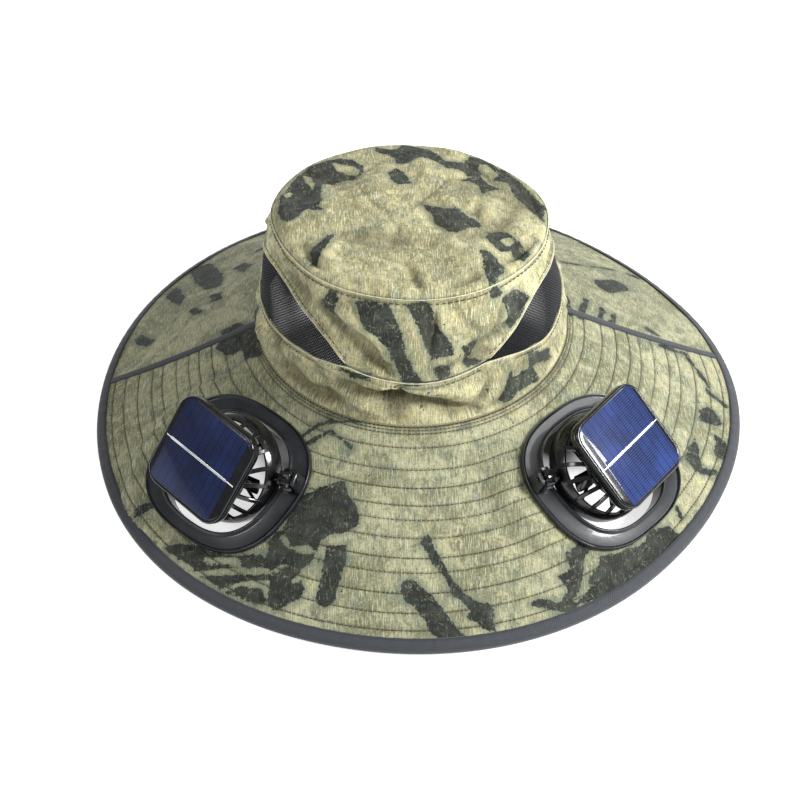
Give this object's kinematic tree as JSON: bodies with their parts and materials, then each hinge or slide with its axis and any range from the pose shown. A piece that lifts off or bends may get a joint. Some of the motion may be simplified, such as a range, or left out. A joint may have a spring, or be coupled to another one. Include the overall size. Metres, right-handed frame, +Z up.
{
  "type": "solar fan hat",
  "caption": "Wide-brim sun hat with mesh side vents and solar-powered fans on swivelling arms, each set in an oval ring in the brim.",
  "frame": {"origin": "on the floor under the middle of the brim, with the hat resting on its brim edge", "axes": "+Z up, -Y towards the front of the hat, +X towards the side seen on the right from the front"},
  "size_m": [0.3803, 0.4132, 0.1391],
  "materials": {
    "camo_cloth": "woven cotton with a printed camouflage pattern, dull",
    "mesh_black": "open knitted mesh, dull black",
    "slate_tape": "folded woven tape, dull slate",
    "gloss_plastic": "glossy moulded black",
    "solar_cell": "glossy blue cell under clear resin",
    "bus_silver": "bright metal strip",
    "motor_metal": "plain metal can"
  },
  "bodies": {
    "hat": {"crown_top": "camo_cloth", "crown_wall": "camo_cloth", "crown_band": "camo_cloth", "vent_left": "mesh_black", "vent_right": "mesh_black", "brim_front": "camo_cloth", "brim_back": "camo_cloth", "seam_tape_left": "slate_tape", "seam_tape_right": "slate_tape", "brim_binding": "slate_tape", "fan_ring_left": "gloss_plastic", "fan_ring_right": "gloss_plastic"},
    "fan_left": {"fan_arm_left": "gloss_plastic", "fan_cage_left": "gloss_plastic", "fan_guard_left": "gloss_plastic", "fan_motor_left": "motor_metal", "panel_housing_left": "gloss_plastic", "solar_cell_left": "solar_cell", "bus_bar_left": "bus_silver"},
    "fan_right": {"fan_arm_right": "gloss_plastic", "fan_cage_right": "gloss_plastic", "fan_guard_right": "gloss_plastic", "fan_motor_right": "motor_metal", "panel_housing_right": "gloss_plastic", "solar_cell_right": "solar_cell", "bus_bar_right": "bus_silver"},
    "rotor_left": {"fan_rotor_left": "gloss_plastic"},
    "rotor_right": {"fan_rotor_right": "gloss_plastic"}
  },
  "joints": [
    {"name": "swivel_left", "type": "hinge", "parent": "hat", "child": "fan_left", "pos_m": [-0.07294, -0.12288, 0.04558], "axis": [0.8552, -0.4842, 0.1846], "range_deg": [-52, 6]},
    {"name": "swivel_right", "type": "hinge", "parent": "hat", "child": "fan_right", "pos_m": [0.0612, -0.12882, 0.04721], "axis": [0.843, 0.4859, -0.2307], "range_deg": [-40, 18]},
    {"name": "spin_left", "type": "hinge", "parent": "fan_left", "child": "rotor_left", "pos_m": [-0.1055, -0.10445, 0.03855], "axis": [-0.4983, -0.6707, 0.5494], "continuous": true},
    {"name": "spin_right", "type": "hinge", "parent": "fan_right", "child": "rotor_right", "pos_m": [0.0933, -0.11032, 0.03843], "axis": [0.4846, -0.4998, 0.7179], "continuous": true}
  ]
}
